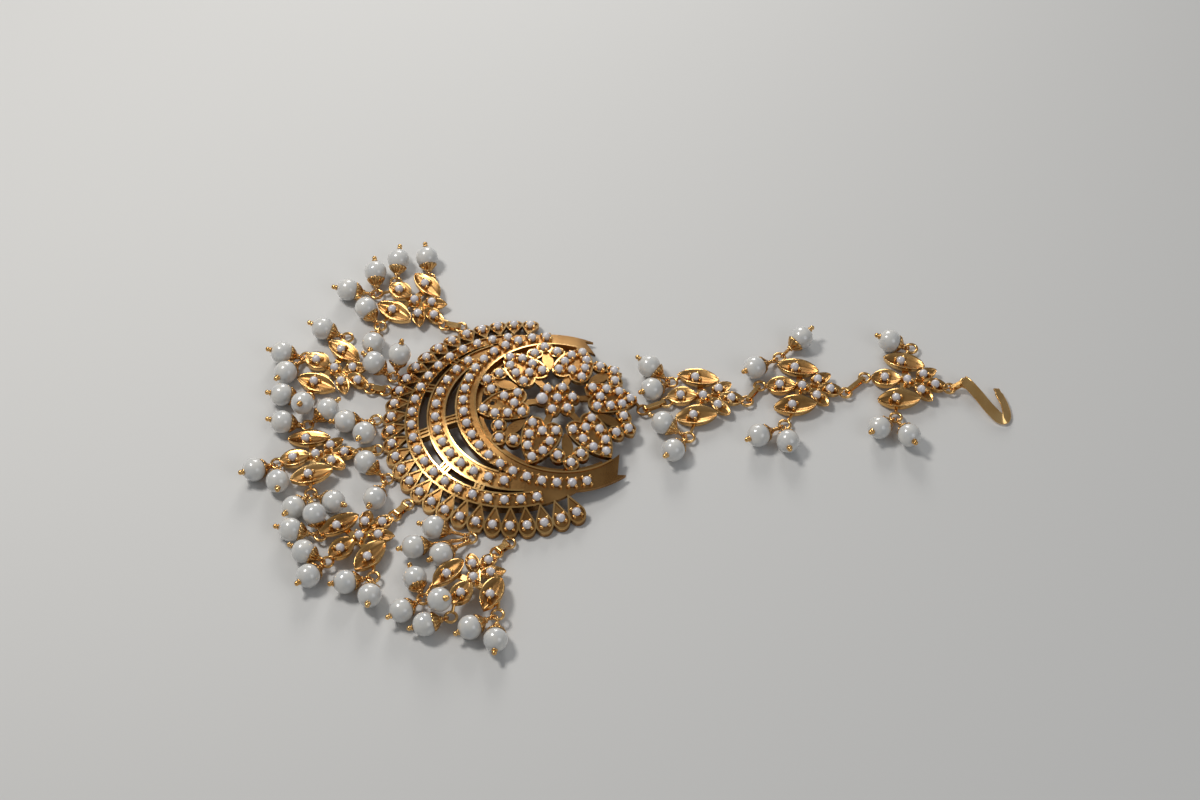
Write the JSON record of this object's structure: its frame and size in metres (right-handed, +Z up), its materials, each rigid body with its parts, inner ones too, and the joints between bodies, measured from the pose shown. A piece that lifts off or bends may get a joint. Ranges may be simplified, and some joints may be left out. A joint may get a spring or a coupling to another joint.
{
  "type": "maang tikka",
  "caption": "Forehead ornament with a pierced, pearl-set crescent and rosette, leaf pendants with pearl drops, and a leaf chain ending in a flat hair hook.",
  "frame": {"origin": "centre of the bounding box in plan, on the surface that it lies on", "axes": "+X from the pendant fringe along the chain to the hair hook, +Z up from the face of the medallion, +Y to the wearer's side"},
  "size_m": [0.1642, 0.1107, 0.0094],
  "materials": {
    "gold": "polished warm gold",
    "pearl": "lustrous pearl, cool white",
    "seed_pearl": "small lustrous pearl"
  },
  "bodies": {
    "root": {"chain_1_drop_pearls": "pearl", "chain_1_drop_pins": "gold", "chain_2_drop_pearls": "pearl", "chain_2_drop_pins": "gold", "chain_3_drop_pearl_1": "pearl", "chain_3_drop_pearl_2": "pearl", "chain_3_drop_pearl_3": "pearl", "chain_3_drop_pin_1": "gold", "chain_3_drop_pin_2": "gold", "chain_3_drop_pin_3": "gold", "chain_leaf_1": "gold", "chain_leaf_2": "gold", "chain_leaf_3": "gold", "chain_link_1": "gold", "chain_link_2": "gold", "chain_link_3": "gold", "chain_link_4": "gold", "crescent_frame": "gold", "flower_pearls": "seed_pearl", "fringe_far_drop_pearls": "pearl", "fringe_far_drop_pins": "gold", "fringe_left_drop_pearl_1": "pearl", "fringe_left_drop_pearl_2": "pearl", "fringe_left_drop_pin_1": "gold", "fringe_left_drop_pin_2": "gold", "fringe_pearls": "seed_pearl", "fringe_right_drop_pearls": "pearl", "fringe_right_drop_pins": "gold", "hair_hook": "gold", "heart_pearls": "seed_pearl", "inner_row_pearls": "seed_pearl", "large_flower_pearl": "seed_pearl", "middle_row_pearls": "seed_pearl", "outer_row_pearls": "seed_pearl", "pendant_1_drop_pearls": "pearl", "pendant_1_drop_pins": "gold", "pendant_2_drop_pearls": "pearl", "pendant_2_drop_pins": "gold", "pendant_3_drop_pearls": "pearl", "pendant_3_drop_pins": "gold", "pendant_4_drop_pearls": "pearl", "pendant_4_drop_pins": "gold", "pendant_5_drop_pearls": "pearl", "pendant_5_drop_pins": "gold", "pendant_leaf_1": "gold", "pendant_leaf_2": "gold", "pendant_leaf_3": "gold", "pendant_leaf_4": "gold", "pendant_leaf_5": "gold", "pendant_link_1": "gold", "pendant_link_2": "gold", "pendant_link_3": "gold", "pendant_link_4": "gold", "pendant_link_5": "gold", "rosette": "gold", "trefoil_pearls": "seed_pearl"}
  },
  "joints": []
}
